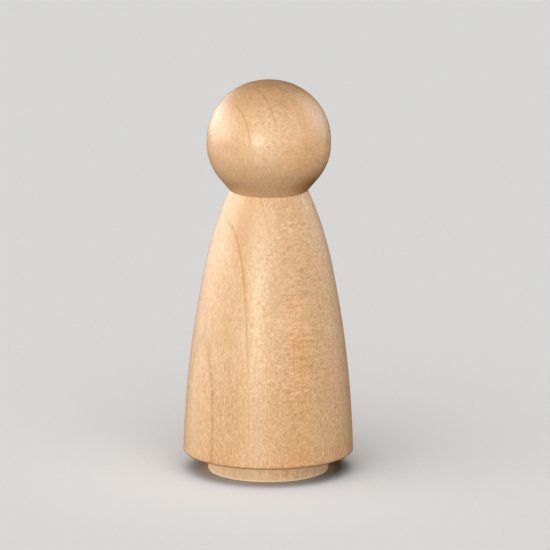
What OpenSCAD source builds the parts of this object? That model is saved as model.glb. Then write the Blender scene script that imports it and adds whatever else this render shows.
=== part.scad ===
// Turned wooden peg doll: a ball head on a bell-shaped body that stands on a
// short round foot. Millimetres, +Z up, origin at the centre of the foot's
// underside. Every piece is a turning about the Z axis.

/* [Head] */
// Largest diameter of the head
head_d = 27.74; // [27.2:0.02:30]
// Height of the head from its seat on the body to the crown
head_h = 24.7; // [24:0.1:27]
// Radius of the upper half's outline
head_up_r = 13.3; // [12.8:0.01:13.5]
// Radius of the lower half's outline
head_low_r = 11.42; // [10.8:0.01:12.2]
// Height of the straight band between the two halves
head_band_h = 1.08; // [0.2:0.01:1.4]

/* [Body] */
// Diameter that the flanks reach at their widest level
hem_d = 38.32; // [34:0.02:44]
// Height of the level at which the flanks would stand upright
flank_level_z = -1.2; // [-6:0.1:4]
// Radius of the lower, flatter part of the flanks' outline
flank_low_r = 238.4; // [200:0.1:400]
// Height where the flatter lower curve runs into the rounder upper one
flank_join_z = 48.2; // [42:0.1:52]
// Height of the body's flat top, on which the head sits
neck_z = 64.2; // [62:0.1:68]
// Diameter of the body's flat top and of the head's seat
neck_d = 17.44; // [16:0.02:18.5]
// Rounding of the hem, the body's lower edge
hem_round = 0.42; // [0.2:0.01:1.2]
// Easing of the body's upper edge at the neck
neck_ease = 0.1; // [0.05:0.01:0.2]

/* [Foot] */
// Diameter of the foot
foot_d = 27.0; // [22:0.1:32]
// Height of the foot below the body
foot_h = 4.4; // [3:0.1:7]
// Rounding of the foot's lower edge
foot_round = 0.4; // [0.2:0.05:0.8]
// Easing of the foot's upper edge
foot_ease = 0.12; // [0.05:0.01:0.3]
// Diameter of the spigot that holds the foot in the body
spigot_d = 12.7; // [9:0.1:15]
// Length of the spigot
spigot_h = 9.5; // [6:0.1:12]

/* [Neck dowel] */
// Diameter of the dowel pin over its ridges
dowel_d = 7.9; // [5.9:0.1:9]
// Length of the dowel pin
dowel_len = 25.4; // [16:0.1:32]
// Number of glue flutes
dowel_flutes = 20; // [12:1:24]
// Depth of each flute
flute_depth = 0.3; // [0.1:0.05:0.5]
// Chamfer at both ends of the pin
dowel_chamfer = 0.8; // [0.4:0.1:1.2]

/* [Fits] */
// Diametral clearance of the dowel in its two bores
dowel_gap = 0.04; // [0.02:0.01:0.2]
// Diametral clearance of the spigot in its socket
spigot_gap = 0.06; // [0.02:0.01:0.2]
// Room for glue past the end of the dowel and of the spigot
glue_room = 0.5; // [0.2:0.1:1.5]
// Countersink at the mouth of each bore
mouth_chamfer = 0.4; // [0.2:0.1:0.8]

/* [Hidden] */
wood = [0.90, 0.74, 0.55];
pin_wood = [0.82, 0.66, 0.47];
$fn = 180;
spigot_chamfer = 0.6;

// how far a rounding's circle passes the faces that it rounds, and the angle
// at which the two flank arcs cross, so that curves cross cleanly and never
// only graze each other
slip = 0.004;
cross_a = 0.3;

// ---- derived sizes ------------------------------------------------------
head_r = head_d / 2;
neck_r = neck_d / 2;
hem_r = hem_d / 2;
foot_r = foot_d / 2;
spigot_r = spigot_d / 2;
bore_r = (dowel_d + dowel_gap) / 2;
bore_depth = dowel_len / 2 + glue_room;
socket_r = (spigot_d + spigot_gap) / 2;
socket_depth = spigot_h + glue_room;

// Head: the arcs of both halves are tangent to the straight band between them
crown_z = neck_z + head_h;
up_mid = [head_r - head_up_r, crown_z - head_up_r];
low_mid = [head_r - head_low_r, crown_z - head_up_r - head_band_h];
// a short cone under the ball touches it and ends at the edge of the seat
seat_edge = [neck_r, neck_z];
cone_a = atan2(neck_z - low_mid.y, neck_r - low_mid.x) + acos(head_low_r / norm(seat_edge - low_mid));
cone_top = low_mid + head_low_r * [cos(cone_a), sin(cone_a)];

// Body: the flanks are a flatter arc below and a rounder one above, which
// ends at the neck's radius
low_c = [hem_r - flank_low_r, flank_level_z];
join = [low_c.x + sqrt(pow(flank_low_r, 2) - pow(flank_join_z - low_c.y, 2)), flank_join_z];
join_a = asin((join.y - low_c.y) / flank_low_r) + cross_a;
join_n = [cos(join_a), sin(join_a)];
rise = [neck_r, neck_z] - join;
flank_up_r = -(rise * rise) / (2 * (rise * join_n));
up_c = join - join_n * flank_up_r;
split_z = flank_join_z - 0.6;
// centres of the roundings of the hem and of the rim, inside the flank arcs
hem_mid = inside(low_c, flank_low_r, hem_round, foot_h + hem_round);
rim_mid = inside(up_c, flank_up_r, neck_ease, neck_z - neck_ease);

// centre, at level z, of a circle of radius s that touches a circle of radius
// r about c from the inside
function inside(c, r, s, z) = [c.x + sqrt(pow(r - s, 2) - pow(z - c.y, 2)), z];

// the part of a circle that stands beyond the chord from p to q
module arc(c, r, p, q, n = 360) {
    out = (p + q) / 2 - c;
    far = out * (r + 1) / norm(out);
    intersection() {
        translate(c) circle(r = r, $fn = n);
        polygon([p, q, q + far, p + far]);
    }
}

// what a rounding takes off the corner between a flat, above (up = 1) or
// below (up = -1) the rounding's centre, and a wall whose normal is n
module round_off(c, r, n, up) {
    difference() {
        polygon([c, c + [0, up], c + [1, up], c + n]);
        translate(c) circle(r = r + slip, $fn = 96);
    }
}

module head_outline() {
    band_a = [head_r, low_mid.y];
    band_b = [head_r, up_mid.y];
    crown = [up_mid.x, crown_z];
    intersection() {
        union() {
            polygon([[0, neck_z], seat_edge, cone_top, band_a, band_b, crown, [0, crown_z]]);
            arc(low_mid, head_low_r, cone_top, band_a);
            arc(up_mid, head_up_r, band_b, crown);
        }
        // all but the blind hole, on the half plane
        polygon([[0, neck_z + bore_depth], [bore_r, neck_z + bore_depth],
                 [bore_r, neck_z + mouth_chamfer], [bore_r + mouth_chamfer, neck_z],
                 [head_r + 1, neck_z], [head_r + 1, crown_z + 1], [0, crown_z + 1]]);
    }
}

module body_outline() {
    difference() {
        intersection() {
            translate(low_c) circle(r = flank_low_r, $fn = 1440);
            union() {
                translate(up_c) circle(r = flank_up_r, $fn = 720);
                polygon([[0, foot_h - 1], [hem_r + 1, foot_h - 1], [hem_r + 1, split_z], [0, split_z]]);
            }
            // all but the two blind holes, on the half plane
            polygon([[0, foot_h + socket_depth], [socket_r, foot_h + socket_depth],
                     [socket_r, foot_h + mouth_chamfer], [socket_r + mouth_chamfer, foot_h],
                     [hem_r + 1, foot_h], [hem_r + 1, neck_z],
                     [bore_r + mouth_chamfer, neck_z], [bore_r, neck_z - mouth_chamfer],
                     [bore_r, neck_z - bore_depth], [0, neck_z - bore_depth]]);
        }
        round_off(hem_mid, hem_round, (hem_mid - low_c) / norm(hem_mid - low_c), -1);
        round_off(rim_mid, neck_ease, (rim_mid - up_c) / norm(rim_mid - up_c), 1);
    }
}

module foot_outline() {
    low_a = [foot_r - foot_round, 0];
    low_b = [foot_r, foot_round];
    top_a = [foot_r, foot_h - foot_ease];
    top_b = [foot_r - foot_ease, foot_h];
    polygon([[0, 0], low_a, low_b, top_a, top_b, [spigot_r, foot_h],
             [spigot_r, foot_h + spigot_h - spigot_chamfer],
             [spigot_r - spigot_chamfer, foot_h + spigot_h], [0, foot_h + spigot_h]]);
    arc([low_a.x, low_b.y], foot_round, low_a, low_b, 72);
    arc([top_b.x, top_a.y], foot_ease, top_a, top_b, 48);
}

// ---- pieces ---------------------------------------------------------------
module head() color(wood) rotate_extrude() head_outline();

module body() color(wood) rotate_extrude() body_outline();

module foot() color(wood) rotate_extrude() foot_outline();

// fluted pin, half in the head and half in the body
module neck_dowel() color(pin_wood) {
    r = dowel_d / 2;
    c = dowel_chamfer;
    z0 = neck_z - dowel_len / 2;
    z1 = neck_z + dowel_len / 2;
    difference() {
        rotate_extrude()
            polygon([[0, z0], [r - c, z0], [r, z0 + c], [r, z1 - c], [r - c, z1], [0, z1]]);
        for (i = [0 : dowel_flutes - 1])
            rotate((i + 0.5) * 360 / dowel_flutes)
                translate([r + flute_depth, 0, z0 - 1])
                    cylinder(r = 2 * flute_depth, h = dowel_len + 2, $fn = 24);
    }
}

head();
neck_dowel();
body();
foot();
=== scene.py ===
import math

import bpy
import numpy as np
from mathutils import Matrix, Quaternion, Vector


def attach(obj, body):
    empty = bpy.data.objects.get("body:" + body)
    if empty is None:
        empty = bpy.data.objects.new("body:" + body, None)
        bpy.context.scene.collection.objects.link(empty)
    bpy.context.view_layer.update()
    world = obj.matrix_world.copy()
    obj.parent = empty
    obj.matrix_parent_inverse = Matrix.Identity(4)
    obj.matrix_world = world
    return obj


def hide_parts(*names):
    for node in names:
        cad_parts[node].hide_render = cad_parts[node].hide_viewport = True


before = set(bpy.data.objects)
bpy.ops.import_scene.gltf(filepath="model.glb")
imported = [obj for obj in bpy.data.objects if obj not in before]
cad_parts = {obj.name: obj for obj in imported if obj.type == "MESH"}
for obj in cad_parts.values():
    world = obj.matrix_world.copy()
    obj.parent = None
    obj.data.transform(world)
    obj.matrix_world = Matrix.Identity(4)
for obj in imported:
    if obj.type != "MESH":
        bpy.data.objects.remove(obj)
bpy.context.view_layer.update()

MM = 0.001


# ---- camera -----------------------------------------------------------------
# A long lens about two metres off, 13 degrees above the table.
elevation = math.radians(13.18)
back = Vector((0.0, -math.cos(elevation), math.sin(elevation)))
up = Vector((0.0, math.sin(elevation), math.cos(elevation)))
camera_data = bpy.data.cameras.new("camera")
camera_data.sensor_width = 36.0
camera_data.lens = 36.0 * 9000.0 / 550.0
camera_data.clip_start = 0.05
camera_data.clip_end = 30.0
camera = bpy.data.objects.new("camera", camera_data)
bpy.context.scene.collection.objects.link(camera)
camera.rotation_mode = "QUATERNION"
roll = Quaternion((0.0, 0.0, 1.0), math.radians(0.136))
camera.rotation_quaternion = (-back).to_track_quat("-Z", "Y") @ roll
camera.location = Vector((0.00143, 0.0, 0.04474)) - up * 0.00016 + back * 2.01331
bpy.context.scene.camera = camera


# ---- turned shapes ------------------------------------------------------------
# Outlines are lists of (radius, height) in millimetres, from axis to axis.
head_r = 13.87
crown_z = 88.9
neck_z = 64.2
neck_r = 8.72
ease = 0.035
up_r, low_r = 13.30, 11.42
up_mid = (head_r - up_r, crown_z - up_r)
low_mid = (head_r - low_r, crown_z - up_r - 1.08)
# a short cone under the ball touches it and ends at the edge of the seat
cone_a = math.atan2(neck_z - low_mid[1], neck_r - low_mid[0]) + math.acos(
    low_r / math.hypot(neck_z - low_mid[1], neck_r - low_mid[0])
)
cone_top = (low_mid[0] + low_r * math.cos(cone_a), low_mid[1] + low_r * math.sin(cone_a))
bore_r, bore_depth, mouth = 3.97, 13.2, 0.4
foot_h, foot_r, foot_round, foot_ease = 4.4, 13.5, 0.4, 0.12
socket_r, socket_depth = 6.38, 10.0
spigot_r, spigot_h, spigot_chamfer = 6.35, 9.5, 0.6
hem_round = 0.42
flank_low_c, flank_low_r, join_z = (19.16 - 238.4, -1.2), 238.4, 48.2


def arc(c, r, a0, a1, n):
    """Points on a circle from angle a0 to a1, in degrees."""
    return [(c[0] + r * math.cos(math.radians(a)), c[1] + r * math.sin(math.radians(a))) for a in np.linspace(a0, a1, n)]


def line(p, q, step):
    """Points from p to q, both left out."""
    n = max(1, int(round(math.dist(p, q) / step)))
    return [(p[0] + (q[0] - p[0]) * i / n, p[1] + (q[1] - p[1]) * i / n) for i in range(1, n)]


def joined(*runs):
    """The runs one after another, without the points that two of them share."""
    out = []
    for run in runs:
        for p in run:
            if not out or math.dist(out[-1], p) > 0.004:
                out.append(p)
    return out


def straight(p, q, step):
    return [p] + line(p, q, step) + [q]


def inside(c, r, s, z):
    """Centre, at height z, of a circle of radius s that touches the circle (c, r) from the inside."""
    return (c[0] + math.sqrt((r - s) ** 2 - (z - c[1]) ** 2), z)


# The upper flank arc leaves the lower one where they meet and ends at the neck.
join = (flank_low_c[0] + math.sqrt(flank_low_r**2 - (join_z - flank_low_c[1]) ** 2), join_z)
join_a = math.asin((join_z - flank_low_c[1]) / flank_low_r) + math.radians(0.3)
rise = (neck_r - join[0], neck_z - join[1])
flank_up_r = -(rise[0] ** 2 + rise[1] ** 2) / (2 * (rise[0] * math.cos(join_a) + rise[1] * math.sin(join_a)))
flank_up_c = (join[0] - flank_up_r * math.cos(join_a), join[1] - flank_up_r * math.sin(join_a))
hem_mid = inside(flank_low_c, flank_low_r, hem_round, foot_h + hem_round)
rim_mid = inside(flank_up_c, flank_up_r, ease, neck_z - ease)


def flank(z):
    """Radius of the flank at height z: one arc runs softly into the other."""
    low = flank_low_c[0] + math.sqrt(flank_low_r**2 - (z - flank_low_c[1]) ** 2)
    high = flank_up_c[0] + math.sqrt(flank_up_r**2 - (z - flank_up_c[1]) ** 2)
    t = min(1.0, max(0.0, (z - join_z) / 5.0 + 0.5))
    return low + (high - low) * t * t * (3.0 - 2.0 * t)


def head_outline():
    slope = math.atan2(cone_top[1] - neck_z, cone_top[0] - neck_r)
    # the seat's edge is rounded just enough to take the light, between the flat seat and the cone
    run = ease * math.tan(slope / 2)
    return joined(
        straight((0.0, crown_z), (up_mid[0], crown_z), 0.2),
        arc(up_mid, up_r, 90, 0, 96),
        straight((head_r, up_mid[1]), (head_r, low_mid[1]), 0.27),
        arc(low_mid, low_r, 0, math.degrees(cone_a), 44),
        straight(cone_top, (neck_r + run * math.cos(slope), neck_z + run * math.sin(slope)), 0.2),
        arc((neck_r - run, neck_z + ease), ease, math.degrees(slope) - 90, -90, 5),
        straight((neck_r - run, neck_z), (bore_r + mouth, neck_z), 0.7),
        straight((bore_r + mouth, neck_z), (bore_r, neck_z + mouth), 0.2),
        straight((bore_r, neck_z + mouth), (bore_r, neck_z + bore_depth), 1.6),
        straight((bore_r, neck_z + bore_depth), (0.0, neck_z + bore_depth), 1.3),
    )


def body_outline():
    rim_a = math.degrees(math.atan2(rim_mid[1] - flank_up_c[1], rim_mid[0] - flank_up_c[0]))
    hem_a = math.degrees(math.atan2(hem_mid[1] - flank_low_c[1], hem_mid[0] - flank_low_c[0]))
    rim_end = arc(rim_mid, ease, rim_a, rim_a, 1)[0]
    hem_end = arc(hem_mid, hem_round, hem_a, hem_a, 1)[0]
    levels = np.linspace(rim_end[1], hem_end[1], 204)[1:-1]
    return joined(
        straight((0.0, neck_z - bore_depth), (bore_r, neck_z - bore_depth), 1.3),
        straight((bore_r, neck_z - bore_depth), (bore_r, neck_z - mouth), 1.6),
        straight((bore_r, neck_z - mouth), (bore_r + mouth, neck_z), 0.2),
        straight((bore_r + mouth, neck_z), (rim_mid[0], neck_z), 0.7),
        arc(rim_mid, ease, 90, rim_a, 6),
        [(flank(z), z) for z in levels],
        arc(hem_mid, hem_round, hem_a, -90, 14),
        straight((hem_mid[0], foot_h), (socket_r + mouth, foot_h), 0.7),
        straight((socket_r + mouth, foot_h), (socket_r, foot_h + mouth), 0.2),
        straight((socket_r, foot_h + mouth), (socket_r, foot_h + socket_depth), 1.2),
        straight((socket_r, foot_h + socket_depth), (0.0, foot_h + socket_depth), 1.3),
    )


def foot_outline():
    # the underside keeps the small dimple of the lathe's centre
    return joined(
        [(0.0, 1.05), (0.35, 0.62), (0.75, 0.16), (0.95, 0.03), (1.2, 0.0)],
        straight((1.2, 0.0), (foot_r - foot_round, 0.0), 0.5),
        arc((foot_r - foot_round, foot_round), foot_round, -90, 0, 14),
        straight((foot_r, foot_round), (foot_r, foot_h - foot_ease), 0.14),
        arc((foot_r - foot_ease, foot_h - foot_ease), foot_ease, 0, 90, 7),
        straight((foot_r - foot_ease, foot_h), (spigot_r, foot_h), 0.7),
        straight((spigot_r, foot_h), (spigot_r, foot_h + spigot_h - spigot_chamfer), 1.2),
        straight((spigot_r, foot_h + spigot_h - spigot_chamfer), (spigot_r - spigot_chamfer, foot_h + spigot_h), 0.3),
        straight((spigot_r - spigot_chamfer, foot_h + spigot_h), (0.0, foot_h + spigot_h), 1.3),
    )


def soft_step(x, a, b):
    t = np.clip((x - a) / (b - a), 0.0, 1.0)
    return t * t * (3.0 - 2.0 * t)


def hand_turned(r, a, z):
    """What sanding and seasoning take off the true radius, in millimetres: never less than nothing, so nothing grows."""
    outer = soft_step(r, 7.5, 8.6)
    # wood shrinks more along the rings than across them, which leaves a turning a hair oval
    oval = 0.0016 * r * 0.5 * (1.0 - np.cos(2.0 * (a - math.radians(30.0))))
    # slow hand sanding leaves low waves round and along the piece
    waves = 0.5 + 0.22 * np.sin(3.0 * a + z * 0.11 + 0.6) + 0.16 * np.sin(5.0 * a - z * 0.07 + 2.1) + 0.12 * np.sin(z * 0.46 + 1.3 + 0.4 * np.sin(a))
    return outer * (oval + 0.022 * waves)


def lathe(name, outline, segments, extra=None):
    """A closed turning from an outline that starts and ends on the axis. Seam at the back."""
    rows = outline[1:-1]
    a = math.pi / 2 + 2.0 * math.pi * np.arange(segments) / segments
    rz = np.array(rows, float)
    r = np.repeat(rz[:, 0], segments)
    z = np.repeat(rz[:, 1], segments)
    ang = np.tile(a, len(rows))
    r = r - hand_turned(r, ang, z)
    if extra is not None:
        r, z = extra(r, ang, z)
    ring = np.stack([r * np.cos(ang), r * np.sin(ang), z], 1)
    points = np.vstack([[[0.0, 0.0, outline[0][1]]], ring, [[0.0, 0.0, outline[-1][1]]]]) * MM
    last = len(points) - 1
    length = np.concatenate([[0.0], np.cumsum([math.dist(p, q) for p, q in zip(outline, outline[1:])])])
    v = length / length[-1]
    faces, uvs = [], []
    for j in range(segments):
        k = (j + 1) % segments
        u0, u1 = j / segments, (j + 1) / segments
        faces.append((0, 1 + j, 1 + k))
        uvs += [((u0 + u1) / 2, v[0]), (u0, v[1]), (u1, v[1])]
    for i in range(len(rows) - 1):
        p, q = 1 + i * segments, 1 + (i + 1) * segments
        for j in range(segments):
            k = (j + 1) % segments
            u0, u1 = j / segments, (j + 1) / segments
            faces.append((p + j, q + j, q + k, p + k))
            uvs += [(u0, v[i + 1]), (u0, v[i + 2]), (u1, v[i + 2]), (u1, v[i + 1])]
    p = 1 + (len(rows) - 1) * segments
    for j in range(segments):
        k = (j + 1) % segments
        u0, u1 = j / segments, (j + 1) / segments
        faces.append((last, p + k, p + j))
        uvs += [((u0 + u1) / 2, v[-1]), (u1, v[-2]), (u0, v[-2])]
    mesh = bpy.data.meshes.new(name)
    mesh.from_pydata(points.tolist(), [], faces)
    layer = mesh.uv_layers.new(name="OFBake")
    flat = np.array(uvs, np.float32)
    flat = 0.004 + 0.992 * flat
    layer.uv.foreach_set("vector", flat.ravel())
    mesh.update()
    mesh.validate()
    # outlines that run upward come out inside out
    volume = 0.0
    co = np.empty(len(mesh.vertices) * 3)
    mesh.vertices.foreach_get("co", co)
    co = co.reshape(-1, 3)
    mesh.calc_loop_triangles()
    tri = np.empty(len(mesh.loop_triangles) * 3, np.int32)
    mesh.loop_triangles.foreach_get("vertices", tri)
    t = co[tri.reshape(-1, 3)]
    volume = np.einsum("ij,ij->i", t[:, 0], np.cross(t[:, 1], t[:, 2])).sum() / 6.0
    if volume < 0:
        mesh.flip_normals()
    mesh.polygons.foreach_set("use_smooth", np.ones(len(mesh.polygons), bool))
    mesh.set_sharp_from_angle(angle=math.radians(38.0))
    obj = bpy.data.objects.new(name, mesh)
    bpy.context.scene.collection.objects.link(obj)
    return obj


def torn_foot(r, a, z):
    """The foot's upper edge is a little fuzzy, and torn out on the right."""
    side = soft_step(z, 2.6, 4.1) * soft_step(r, 12.9, 13.4)
    away = np.abs((a - math.radians(2.0) + math.pi) % (2 * math.pi) - math.pi)
    notch = soft_step(0.34 - away, 0.0, 0.2)
    fuzz = 0.5 + 0.3 * np.sin(47.0 * a + 1.0) + 0.2 * np.sin(83.0 * a + 2.2)
    return r - side * (0.02 * fuzz + 0.1 * notch * (0.6 + 0.4 * fuzz)), z


head = lathe("turned_head", head_outline(), 360)
body = lathe("turned_body", body_outline(), 360)
foot = lathe("turned_foot", foot_outline(), 360, torn_foot)


# ---- wood ---------------------------------------------------------------------
class Nodes:
    """Adds nodes to a material, with plain numbers or sockets as inputs."""

    def __init__(self, material):
        material.use_nodes = True
        self.tree = material.node_tree
        self.tree.nodes.clear()

    def add(self, kind, inputs=(), **settings):
        node = self.tree.nodes.new(kind)
        for key, value in settings.items():
            setattr(node, key, value)
        for key, value in dict(inputs).items():
            self.put(node.inputs[key], value)
        return node

    def put(self, socket, value):
        if isinstance(value, bpy.types.NodeSocket):
            self.tree.links.new(value, socket)
        else:
            socket.default_value = value

    def math(self, operation, a, b=0.0, c=0.0, clamp=False):
        return self.add("ShaderNodeMath", {0: a, 1: b, 2: c}, operation=operation, use_clamp=clamp).outputs[0]

    def scale(self, vector, by):
        return self.add("ShaderNodeVectorMath", {0: vector, 1: by}, operation="MULTIPLY").outputs[0]

    def shift(self, vector, by):
        return self.add("ShaderNodeVectorMath", {0: vector, 1: by}, operation="ADD").outputs[0]

    def dot(self, vector, by):
        return self.add("ShaderNodeVectorMath", {0: vector, 1: by}, operation="DOT_PRODUCT").outputs["Value"]

    def noise(self, vector, detail=2.0, roughness=0.5, distortion=0.0):
        return self.add(
            "ShaderNodeTexNoise",
            {"Vector": vector, "Scale": 1.0, "Detail": detail, "Roughness": roughness, "Distortion": distortion},
            noise_dimensions="3D",
        ).outputs[0]

    def span(self, value, a, b, low=0.0, high=1.0, smooth=True):
        """value mapped from a..b to low..high, held at both ends."""
        return self.add(
            "ShaderNodeMapRange",
            {0: value, 1: a, 2: b, 3: low, 4: high},
            interpolation_type="SMOOTHSTEP" if smooth else "LINEAR",
            clamp=True,
        ).outputs[0]

    def tint(self, colour, mask, by):
        """colour times by, where mask is 1."""
        node = self.add("ShaderNodeMix", data_type="RGBA", blend_type="MULTIPLY")
        self.put(node.inputs[0], mask)
        self.put(node.inputs[6], colour)
        self.put(node.inputs[7], by if isinstance(by, bpy.types.NodeSocket) else (*by, 1.0))
        return node.outputs[2]

    def blend(self, mask, a, b):
        node = self.add("ShaderNodeMix", data_type="RGBA", blend_type="MIX")
        self.put(node.inputs[0], mask)
        self.put(node.inputs[6], a if isinstance(a, bpy.types.NodeSocket) else (*a, 1.0))
        self.put(node.inputs[7], b if isinstance(b, bpy.types.NodeSocket) else (*b, 1.0))
        return node.outputs[2]

    def ramp(self, value, stops):
        node = self.add("ShaderNodeValToRGB", {0: value})
        ramp = node.color_ramp
        while len(ramp.elements) > 1:
            ramp.elements.remove(ramp.elements[-1])
        ramp.elements[0].position = stops[0][0]
        ramp.elements[0].color = (*stops[0][1], 1.0)
        for place, colour in stops[1:]:
            ramp.elements.new(place).color = (*colour, 1.0)
        return node.outputs[0]


# Where the yearly rings lie across the blank, in millimetres from its middle
RINGS = (-26.8, -21.4, -16.6, -11.4, -6.0, -0.5, 4.9, 10.05, 14.6, 19.4, 24.6)


def maple(name, base, line_strength=1.0, dull=0.0, painted_rim_highlights=(), quiet=None, depth=1.0, stains_and_painted_light=(), flecks=(), height_tints_and_painted_light=(), coarse=False):
    """Bare sanded maple. Rings, fibres and rays are one solid pattern, so that every cut shows its own face of it.
    painted_rim_highlights are (height, half width, strength) in mm of pale lines painted along rims, a painted
    highlight where the light catches them.
    quiet is the two heights between which the ring lines come up from faint to full (lower down they show
    again a little), and depth is how much the fine figure darkens the wood. stains_and_painted_light are (place,
    reach, shade) of browner or paler patches, in mm, some of them stained wood and some painted light and painted
    shade, flecks are (place, reach) where the rays show best, and height_tints_and_painted_light are (from, to, shade)
    of tints that grow between two heights, painted shade and painted light among them.
    coarse wood is left as the parting tool cut it, with darker streaks."""
    material = bpy.data.materials.new(name)
    n = Nodes(material)

    def tone(*shade):
        return tuple(1.0 - (1.0 - v) * depth for v in shade)

    here = n.add("ShaderNodeTexCoord")
    place = n.scale(here.outputs["Object"], (1000.0, 1000.0, 1000.0))

    # across the rings, along the rings, and along the trunk
    across = n.math("ADD", n.dot(place, (-0.866, -0.5, 0.0463)), -3.783)
    along = n.dot(place, (0.5, -0.866, 0.0))
    grain = n.add("ShaderNodeSeparateXYZ", {0: place}).outputs[2]
    wood = n.add("ShaderNodeCombineXYZ", {0: across, 1: along, 2: grain}).outputs[0]

    # the rings curve round a far pith and wander a little
    curved = n.math("MULTIPLY_ADD", n.math("MULTIPLY", along, along), 0.0011, across)
    wander = n.noise(n.scale(wood, (0.03, 0.06, 0.028)), 1.0)
    ripple = n.noise(n.shift(n.scale(wood, (0.2, 0.34, 0.085)), (7.0, 3.0, 5.0)), 2.0)
    year = n.math("MULTIPLY_ADD", n.math("SUBTRACT", wander, 0.5), 0.7, curved)
    year = n.math("MULTIPLY_ADD", n.math("SUBTRACT", ripple, 0.5), 0.3, year)
    # and they bulge a little to the right in the upper half of the body
    year = n.math("MULTIPLY_ADD", n.math("MULTIPLY", n.span(grain, 30.0, 46.0), n.span(grain, 64.0, 54.0)), 0.29, year)
    count = None
    for a, b in zip(RINGS, RINGS[1:]):
        step = n.span(year, a, b, smooth=False)
        count = step if count is None else n.math("ADD", count, step)
    phase = n.math("FRACT", count)
    ring = n.ramp(
        phase,
        [
            (0.0, (0.74, 0.60, 0.48)),
            (0.012, (0.76, 0.62, 0.50)),
            (0.030, (0.95, 0.90, 0.82)),
            (0.05, (1.0, 0.995, 0.97)),
            (0.26, (1.0, 0.99, 0.965)),
            (0.60, (0.99, 0.975, 0.95)),
            (0.90, (0.985, 0.965, 0.935)),
            (0.968, (0.95, 0.915, 0.865)),
            (0.990, (0.76, 0.62, 0.50)),
            (1.0, (0.74, 0.60, 0.48)),
        ],
    )
    # some years show strongly and some hardly at all, and on the right they fade below the neck
    fading = n.span(n.noise(n.shift(n.scale(wood, (0.08, 0.10, 0.03)), (1.0, 9.0, 2.0)), 1.0), 0.3, 0.7, 0.8 * line_strength, line_strength)
    behind = n.span(year, -13.5, -15.0)
    late = n.math("MAXIMUM", n.span(year, 7.2, 8.4), behind)
    faint = n.span(year, 0.6, 2.8, 0.22, 0.95)
    high = n.math("MULTIPLY", faint, n.span(grain, 54.0, 66.0, 0.25, 1.0))
    fading = n.math("MULTIPLY", fading, n.math("MAXIMUM", late, high))
    # a ring is crisp where it is cut across and soft where the cut runs along it, above all near the neck
    seen = n.math("MAXIMUM", n.span(along, -2.0, 3.8), n.math("MAXIMUM", behind, n.span(year, 12.0, 13.5, 0.0, 0.65)))
    fading = n.math("MULTIPLY", fading, n.math("MAXIMUM", seen, n.span(grain, 50.0, 40.0, 0.06, 0.3)))
    # lower down on the body only the ring far out on the left stays plain to see
    fading = n.math("MULTIPLY", fading, n.math("MAXIMUM", n.math("MAXIMUM", n.span(year, 11.0, 12.5, 0.0, 0.8), behind), n.span(grain, 16.0, 42.0, 0.3, 1.0)))
    if quiet is not None:
        level = n.math("SUBTRACT", grain, n.span(year, 9.0, 5.5, 0.0, 3.5))
        again = n.span(grain, quiet[0] - 1.0, quiet[0] - 4.0, 0.1, 0.28)
        fading = n.math("MULTIPLY", fading, n.math("MAXIMUM", n.span(level, quiet[0], quiet[1], 0.1, 1.0), again))
    colour = n.tint((*base, 1.0), fading, ring)
    # paler and whiter beside the plainest ring, on the body
    pale_beside_ring = n.math("MULTIPLY", n.span(year, 10.05, 10.5), n.span(year, 13.4, 11.2))
    pale_beside_ring = n.math("MULTIPLY", pale_beside_ring, n.math("MULTIPLY", n.span(grain, 25.0, 35.0), n.span(grain, 55.0, 45.0)))
    colour = n.tint(colour, pale_beside_ring, (1.04, 1.095, 1.155))

    # fainter layers within each year
    layer = n.noise(n.shift(n.add("ShaderNodeCombineXYZ", {0: n.math("MULTIPLY", year, 1.5), 1: n.math("MULTIPLY", along, 0.06), 2: n.math("MULTIPLY", grain, 0.02)}).outputs[0], (3.0, 1.0, 8.0)), 3.0, 0.6)
    colour = n.tint(colour, n.span(layer, 0.36, 0.68), (0.975, 0.957, 0.932))

    # long fibres
    fibre = n.noise(n.shift(n.scale(wood, (2.3, 2.3, 0.11)), (11.0, 4.0, 6.0)), 3.0, 0.62)
    colour = n.tint(colour, n.span(fibre, 0.34, 0.68), (0.96, 0.94, 0.91))

    # fine pores, a dash long on a side face and a dot on a cut end
    pore = n.noise(n.shift(n.scale(wood, (3.4, 3.4, 0.8)), (2.0, 8.0, 1.0)), 1.5, 0.6)
    pores = n.span(pore, 0.54, 0.70)
    colour = n.tint(colour, pores, tone(0.92, 0.875, 0.81))
    colour = n.tint(colour, n.span(pore, 0.36, 0.50), tone(0.965, 0.95, 0.925))

    # the figure differs where the cut runs along the rings (flat) from where it runs across them
    facing = n.dot(here.outputs["Normal"], (-0.866, -0.5, 0.0463))
    flat = n.span(n.math("ABSOLUTE", facing), 0.5, 0.88)
    figured = n.math("SUBTRACT", 1.0, flat)
    # on the flat of the rings the rays end in short upright dashes
    dash = n.noise(n.shift(n.scale(wood, (0.9, 3.0, 0.85)), (6.0, 2.0, 8.0)), 2.0, 0.6)
    dashes = n.math("MULTIPLY", flat, n.span(dash, 0.58, 0.42))
    dashes = n.math("MULTIPLY", dashes, n.span(n.math("ABSOLUTE", n.math("SUBTRACT", grain, 54.0)), 5.0, 15.0, 0.5, 1.0))
    colour = n.tint(colour, dashes, tone(0.935, 0.91, 0.87))

    # tiny bundles of fibre that lean this way and that, and shine or dull with it
    bundle = n.noise(n.shift(n.scale(wood, (0.85, 1.7, 1.75)), (1.0, 3.0, 7.0)), 2.0, 0.65, 0.35)
    busy = n.noise(n.shift(n.scale(wood, (0.14, 0.14, 0.09)), (2.0, 6.0, 5.0)), 1.0)
    lively = n.math("MULTIPLY", n.math("MULTIPLY_ADD", figured, 0.7, 0.3), n.span(busy, 0.34, 0.56, 0.5, 1.0))
    bundles = n.math("MULTIPLY", n.span(bundle, 0.40, 0.62), lively)
    colour = n.tint(colour, bundles, tone(0.945, 0.92, 0.885))
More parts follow.
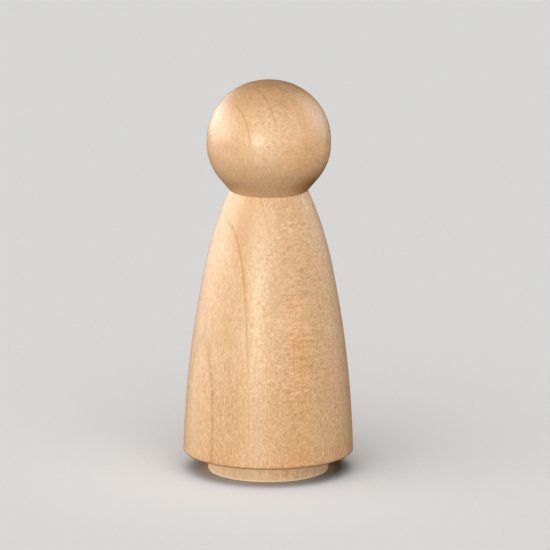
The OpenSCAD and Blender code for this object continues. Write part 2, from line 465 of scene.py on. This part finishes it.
    # painted glints and painted shade: short wandering pale strokes, more in some places than in others,
    # and beside each pale stroke a dark one, as on a small facet that is lit from one side
    stroke = n.noise(n.shift(n.scale(wood, (0.5, 1.15, 1.15)), (9.3, 2.6, 4.2)), 1.0, 0.5, 0.8)
    share = n.math("MULTIPLY", n.span(busy, 0.34, 0.56, 0.2, 1.0), n.math("MULTIPLY_ADD", figured, 0.85, 0.15))
    painted_glints = n.math("MULTIPLY", n.span(n.math("ABSOLUTE", n.math("SUBTRACT", stroke, 0.525)), 0.052, 0.012), share)
    painted_facet_shade = n.math("MULTIPLY", n.span(n.math("ABSOLUTE", n.math("SUBTRACT", stroke, 0.455)), 0.045, 0.010), share)
    # where they are few, other painted strokes of glint and shade run up the trunk
    rising = n.noise(n.shift(n.scale(wood, (1.5, 1.5, 0.6)), (3.0, 7.0, 2.0)), 1.0, 0.5, 0.9)
    share = n.span(busy, 0.62, 0.40, 0.15, 0.85)
    painted_glints = n.math("MAXIMUM", painted_glints, n.math("MULTIPLY", n.span(n.math("ABSOLUTE", n.math("SUBTRACT", rising, 0.525)), 0.052, 0.012), share))
    painted_facet_shade = n.math("MAXIMUM", painted_facet_shade, n.math("MULTIPLY", n.span(n.math("ABSOLUTE", n.math("SUBTRACT", rising, 0.455)), 0.045, 0.010), share))
    colour = n.tint(colour, painted_facet_shade, tone(0.93, 0.905, 0.86))

    # ray flecks: thin ribbons that run across the rings, so they show as dashes where the cut runs along them
    patch = n.span(n.noise(n.shift(n.scale(wood, (0.1, 0.16, 0.05)), (5.0, 5.0, 3.0)), 1.0), 0.36, 0.58, 0.25, 1.0)
    ray = n.noise(n.shift(n.scale(wood, (0.30, 3.0, 2.0)), (4.0, 2.0, 9.0)), 1.5, 0.5)
    patch = n.math("MULTIPLY", patch, n.math("MULTIPLY_ADD", figured, 0.9, 0.1))
    bright = 0.0
    for spot, reach in flecks:
        away = n.add("ShaderNodeVectorMath", {0: place, 1: spot}, operation="DISTANCE").outputs["Value"]
        away = n.math("MULTIPLY_ADD", n.math("SUBTRACT", busy, 0.5), reach, away)
        bright = n.math("MAXIMUM", n.span(away, reach, reach * 0.45), bright)
    patch = n.math("MULTIPLY_ADD", bright, 0.6, patch)
    pale_rays_and_glints = n.math("MULTIPLY", n.span(ray, 0.54, 0.63), patch)
    dark_ray = n.math("MULTIPLY", n.span(ray, 0.46, 0.37), patch)
    # the painted glints join the pale rays, and share their colour, gloss and relief
    pale_rays_and_glints = n.math("MAXIMUM", pale_rays_and_glints, painted_glints)
    around = n.math("MULTIPLY", n.math("SUBTRACT", 1.0, pale_rays_and_glints), n.math("MULTIPLY_ADD", figured, 0.35, 0.65))
    colour = n.tint(colour, around, tone(0.89, 0.865, 0.82))
    colour = n.tint(colour, dark_ray, tone(0.92, 0.865, 0.79))

    # low on both sides of the body the sanding was lighter, and the wood stays a little rougher
    sides = n.span(n.math("ABSOLUTE", n.math("SUBTRACT", year, 5.7)), 2.5, 7.0)
    grit = n.noise(n.shift(n.scale(wood, (2.3, 2.3, 1.05)), (5.0, 1.0, 9.0)), 1.5, 0.6)
    grits = n.math("MULTIPLY", n.span(grain, 36.0, 20.0), sides)
    colour = n.tint(colour, grits, n.blend(n.span(grit, 0.44, 0.58), (1.045, 1.055, 1.075), (0.93, 0.91, 0.875)))

    if coarse:
        streak = n.noise(n.shift(n.scale(wood, (0.95, 0.95, 0.05)), (4.0, 4.0, 1.0)), 2.0, 0.6)
        colour = n.tint(colour, n.span(streak, 0.50, 0.62), (0.94, 0.885, 0.83))
        torn = n.noise(n.shift(n.scale(wood, (2.8, 2.8, 0.7)), (1.0, 8.0, 3.0)), 2.0, 0.6)
        colour = n.tint(colour, n.span(torn, 0.52, 0.66), (0.92, 0.84, 0.76))

    # a warmer stripe low on the right, where the wood is a little stained
    stripe = n.math("MULTIPLY", n.span(year, -2.2, -0.4), n.span(year, 1.9, 1.1))
    stripe = n.math("MULTIPLY", stripe, n.math("MULTIPLY", n.span(grain, 46.0, 30.0), n.span(along, 2.0, 9.0)))
    stripe = n.math("MULTIPLY", stripe, n.span(grain, 14.0, 27.0, 0.35, 1.0))
    colour = n.tint(colour, stripe, (0.99, 0.93, 0.84))
    # and the whole front right of the body leans to orange below its middle
    warmth = n.math("MULTIPLY", n.span(year, -4.5, -1.0), n.span(year, 8.5, 5.0))
    warmth = n.math("MULTIPLY", warmth, n.math("MULTIPLY", n.span(grain, 58.0, 20.0, smooth=False), n.span(along, 2.0, 9.0)))
    colour = n.tint(colour, warmth, (1.0, 0.945, 0.885))

    # the blank is pinker in places and yellower in others
    blush = n.noise(n.shift(n.scale(wood, (0.12, 0.12, 0.05)), (8.0, 1.0, 4.0)), 2.0)
    colour = n.tint(colour, 1.0, n.blend(n.span(blush, 0.35, 0.65), (1.0, 0.965, 0.94), (0.985, 0.985, 0.95)))
    mottle = n.noise(n.shift(n.scale(wood, (0.9, 0.9, 0.55)), (6.0, 6.0, 1.0)), 3.0, 0.6)
    colour = n.tint(colour, n.span(mottle, 0.35, 0.7), (0.965, 0.945, 0.92))

    # a few places made browner, paler or whiter: some are stained wood, some painted light and painted shade, as
    # marked where they are listed
    for spot, reach, shade in stains_and_painted_light:
        away = n.add("ShaderNodeVectorMath", {0: place, 1: spot}, operation="DISTANCE").outputs["Value"]
        away = n.math("MULTIPLY_ADD", n.math("SUBTRACT", mottle, 0.5), reach, away)
        colour = n.tint(colour, n.span(away, reach, reach * 0.25), shade)

    # tints that grow between two heights, among them painted shade under the hem of the body and painted light on the
    # foot where the hem shades it
    for start, end, shade in height_tints_and_painted_light:
        colour = n.tint(colour, n.span(grain, start, end), shade)

    # cut ends drink in light and handling
    upright = n.add("ShaderNodeSeparateXYZ", {0: here.outputs["Normal"]}).outputs[2]
    end = n.span(n.math("ABSOLUTE", upright), 0.5, 1.0)
    colour = n.tint(colour, end, (0.85, 0.82, 0.765))
    cloud = n.noise(n.shift(n.scale(wood, (0.55, 0.55, 0.3)), (2.0, 5.0, 3.0)), 2.0, 0.55)
    colour = n.tint(colour, n.math("MULTIPLY", end, n.span(cloud, 0.40, 0.60)), (0.90, 0.885, 0.82))
    fleck = n.noise(n.shift(n.scale(wood, (2.4, 2.4, 0.5)), (7.0, 1.0, 3.0)), 1.0)
    colour = n.tint(colour, n.math("MULTIPLY", end, n.span(fleck, 0.66, 0.56)), (0.95, 0.93, 0.89))

    # painted highlight: pale lines along rims, where the light catches them
    for height, half, strength in painted_rim_highlights:
        away = n.math("ABSOLUTE", n.math("SUBTRACT", grain, height))
        edge = n.math("MULTIPLY", n.span(away, half, half * 0.35), strength)
        edge = n.math("MULTIPLY", edge, n.span(fibre, 0.3, 0.6, 0.6, 1.0))
        colour = n.blend(edge, colour, (min(1.0, base[0] * 1.06), base[1] * 1.12, base[2] * 1.2))

    # gloss: sanded fibres shine a little more than pores and cut ends
    rough = n.span(fibre, 0.3, 0.7, 0.37 + dull, 0.44 + dull)
    rough = n.math("MULTIPLY_ADD", pores, 0.10, rough)
    rough = n.math("MULTIPLY_ADD", pale_rays_and_glints, -0.06, rough)
    rough = n.math("MULTIPLY_ADD", end, 0.10, rough)

    # relief: fibres, pores, rays and the small facets that sandpaper leaves
    height = n.math("MULTIPLY", fibre, 0.30)
    height = n.math("MULTIPLY_ADD", pores, -0.22, height)
    height = n.math("MULTIPLY_ADD", pale_rays_and_glints, 0.55, height)
    height = n.math("MULTIPLY_ADD", n.math("MULTIPLY", n.math("SUBTRACT", bundle, 0.5), lively), -1.5, height)
    relief = n.add("ShaderNodeBump", {"Strength": 0.35, "Distance": 0.00006, "Height": height})

    shader = n.add(
        "ShaderNodeBsdfPrincipled",
        {"Base Color": colour, "Roughness": rough, "Normal": relief.outputs[0], "IOR": 1.5, "Specular IOR Level": 0.88,
         "Specular Tint": (1.0, 0.95, 0.80, 1.0)},
    )
    out = n.add("ShaderNodeOutputMaterial", {"Surface": shader.outputs[0]})
    out.is_active_output = True
    return material


def beech(name):
    """Plain beech pin: pinkish brown with short dark ray dashes."""
    material = bpy.data.materials.new(name)
    n = Nodes(material)
    here = n.add("ShaderNodeTexCoord")
    place = n.scale(here.outputs["Object"], (1000.0, 1000.0, 1000.0))
    fibre = n.noise(n.scale(place, (2.6, 2.6, 0.12)), 3.0, 0.6)
    ray = n.noise(n.shift(n.scale(place, (7.0, 1.0, 0.8)), (3.0, 1.0, 2.0)), 1.0)
    dashes = n.span(ray, 0.6, 0.7)
    colour = n.blend(n.span(fibre, 0.35, 0.68), (0.62, 0.40, 0.23), (0.50, 0.30, 0.16))
    colour = n.tint(colour, dashes, (0.72, 0.62, 0.52))
    rough = n.span(fibre, 0.3, 0.7, 0.5, 0.66)
    height = n.math("MULTIPLY_ADD", dashes, -0.4, fibre)
    relief = n.add("ShaderNodeBump", {"Strength": 0.4, "Distance": 0.00006, "Height": height})
    shader = n.add("ShaderNodeBsdfPrincipled", {"Base Color": colour, "Roughness": rough, "Normal": relief.outputs[0], "IOR": 1.5})
    n.add("ShaderNodeOutputMaterial", {"Surface": shader.outputs[0]})
    return material


WOOD = (0.985, 0.66, 0.413)
HEAD_STAINS_AND_PAINTED_LIGHT = (
    # painted shade in the neck crease under the head's right side
    ((8.0, -6.5, 66.8), 5.4, (0.93, 0.79, 0.62)),
    # a warmer patch, brightened by painted light on the head's right side
    ((7.5, -11.5, 75.0), 7.5, (1.055, 1.005, 0.94)),
    # painted highlight: paler and whiter on the head's left, where the light from the left shines
    ((-11.8, -4.2, 81.6), 3.8, (0.96, 1.09, 1.20)),
    ((8.6, -7.6, 83.4), 5.0, (0.965, 0.88, 0.85)),
    # painted light along the head's right rim, as from the lights on the right
    ((12.5, -5.0, 72.8), 6.5, (1.22, 1.18, 1.11)),
    # painted shade beside that painted highlight on the left, which narrows it
    ((-8.6, -8.8, 82.0), 4.0, (0.94, 0.92, 0.91)),
    ((-0.8, -6.6, 86.9), 6.0, (1.05, 1.07, 1.12)),
    ((5.4, -1.5, 87.4), 3.2, (0.97, 0.90, 0.80)),
    ((-0.5, -3.0, 88.6), 2.6, (0.96, 0.93, 0.86)),
)
head.data.materials.append(maple("maple_head", WOOD, 0.88, -0.06, quiet=(74.5, 79.5), depth=0.85, stains_and_painted_light=HEAD_STAINS_AND_PAINTED_LIGHT))
BODY_STAINS_AND_PAINTED_SHADE = (
    ((6.1, -13.9, 42.1), 2.8, (1.05, 0.985, 0.905)),
    ((6.6, -14.6, 31.5), 3.4, (0.995, 0.965, 0.93)),
    ((5.6, -16.4, 37.2), 5.5, (1.08, 1.07, 1.08)),
    ((7.6, -17.0, 24.0), 5.0, (1.06, 1.06, 1.07)),
    # painted shade: darker and greyer high on the body's left, where the left light falls
    ((-7.9, -8.9, 57.5), 5.5, (0.94, 0.93, 0.93)),
    ((-9.8, -15.1, 26.5), 6.5, (1.03, 1.07, 1.12)),
    ((-2.9, -18.6, 16.5), 10.5, (0.955, 0.925, 0.895)),
    ((5.7, -12.8, 52.8), 5.0, (0.97, 0.92, 0.88)),
)
BODY_FLECKS = (((6.4, -13.8, 42.3), 4.0), ((7.0, -15.0, 29.5), 3.2), ((7.2, -16.0, 22.0), 3.0))
body.data.materials.append(
    maple(
        "maple_body", WOOD, 0.78, 0.0, depth=1.2, stains_and_painted_light=BODY_STAINS_AND_PAINTED_SHADE, flecks=BODY_FLECKS,
        # darker towards the bottom of the body, then a painted shade along the underside of the hem
        height_tints_and_painted_light=[(13.0, 4.6, (0.99, 0.955, 0.925)), (5.2, 4.5, (0.80, 0.70, 0.58))],
    )
)
# the foot: a painted highlight along its bottom rim, and painted light on its upper part, which the hem shades
foot.data.materials.append(maple("maple_foot", (1.0, 0.725, 0.465), 0.7, 0.08, [(0.25, 0.42, 0.75)], depth=0.7, height_tints_and_painted_light=[(0.6, 2.9, (1.10, 1.085, 1.08))], coarse=True))

for piece, node, slot in ((head, "head", "head_wood"), (body, "body", "body_wood"), (foot, "foot", "foot_wood")):
    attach(piece, "root")
    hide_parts(node)

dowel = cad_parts["neck_dowel"]
pin = beech("beech_dowel")
dowel.data.materials.clear()
dowel.data.materials.append(pin)


# ---- floor and light ------------------------------------------------------------
floor_mesh = bpy.data.meshes.new("floor")
side = 6.0
floor_mesh.from_pydata([(-side, -side, 0), (side, -side, 0), (side, side, 0), (-side, side, 0)], [], [(0, 1, 2, 3)])
floor = bpy.data.objects.new("floor", floor_mesh)
bpy.context.scene.collection.objects.link(floor)
paper = bpy.data.materials.new("paper")
n = Nodes(paper)
spot = n.add("ShaderNodeTexCoord")
tooth = n.noise(n.scale(spot.outputs["Object"], (900.0, 900.0, 900.0)), 2.0)
shade = n.blend(n.span(tooth, 0.3, 0.7), (0.84, 0.835, 0.825), (0.86, 0.855, 0.845))
n.add("ShaderNodeOutputMaterial", {"Surface": n.add("ShaderNodeBsdfDiffuse", {"Color": shade}).outputs[0]})
floor.data.materials.append(paper)
floor.visible_diffuse = False
floor.visible_glossy = False

# The low side lights would throw long shadows across the table, so only the soft one from above lights both.
doll_only = bpy.data.collections.new("doll_only")
for piece in (head, body, foot, dowel):
    doll_only.objects.link(piece)
floor_only = bpy.data.collections.new("floor_only")
floor_only.objects.link(floor)

# name, degrees to the right of the camera, degrees above the floor, softness in degrees, strength, what it lights
LIGHTS = (
    ("key", -18.0, 9.8, 10.0, 1.10, doll_only),
    ("low_front", -8.0, 9.0, 70.0, 1.35, doll_only),
    ("left", -95.0, 16.0, 40.0, 1.40, doll_only),
    ("left_back", -125.0, 9.0, 40.0, 0.94, doll_only),
    ("far_left_back", -150.0, 8.0, 30.0, 0.44, doll_only),
    ("right_front", 45.0, 14.0, 50.0, 0.57, doll_only),
    ("right", 75.0, 25.0, 40.0, 0.10, doll_only),
    ("right_low", 112.0, 8.0, 35.0, 0.42, doll_only),
    ("right_high", 118.0, 36.0, 45.0, 0.75, doll_only),
    ("far_right_back", 140.0, 10.0, 35.0, 0.24, doll_only),
    ("above", 0.0, 52.0, 60.0, 0.58, None),
    ("wash", -25.0, 68.0, 80.0, 2.2, floor_only),
)
for name, around, above, soft, strength, lit in LIGHTS:
    data = bpy.data.lights.new(name, "SUN")
    data.energy = strength
    data.angle = math.radians(soft)
    light = bpy.data.objects.new(name, data)
    a, e = math.radians(around), math.radians(above)
    towards = Vector((math.sin(a) * math.cos(e), -math.cos(a) * math.cos(e), math.sin(e)))
    light.rotation_mode = "QUATERNION"
    light.rotation_quaternion = towards.to_track_quat("Z", "Y")
    light.location = towards
    if lit is not None:
        light.light_linking.receiver_collection = lit
    bpy.context.scene.collection.objects.link(light)

# Past the floor's edge the camera sees the same pale grey. It lights nothing.
world = bpy.data.worlds.new("studio")
bpy.context.scene.world = world
world.use_nodes = True
tree = world.node_tree
sky = tree.nodes["Background"]
sky.inputs[0].default_value = (0.672, 0.668, 0.657, 1.0)
tree.links.new(tree.nodes.new("ShaderNodeLightPath").outputs["Is Camera Ray"], sky.inputs[1])

bpy.context.scene.view_settings.view_transform = "Standard"
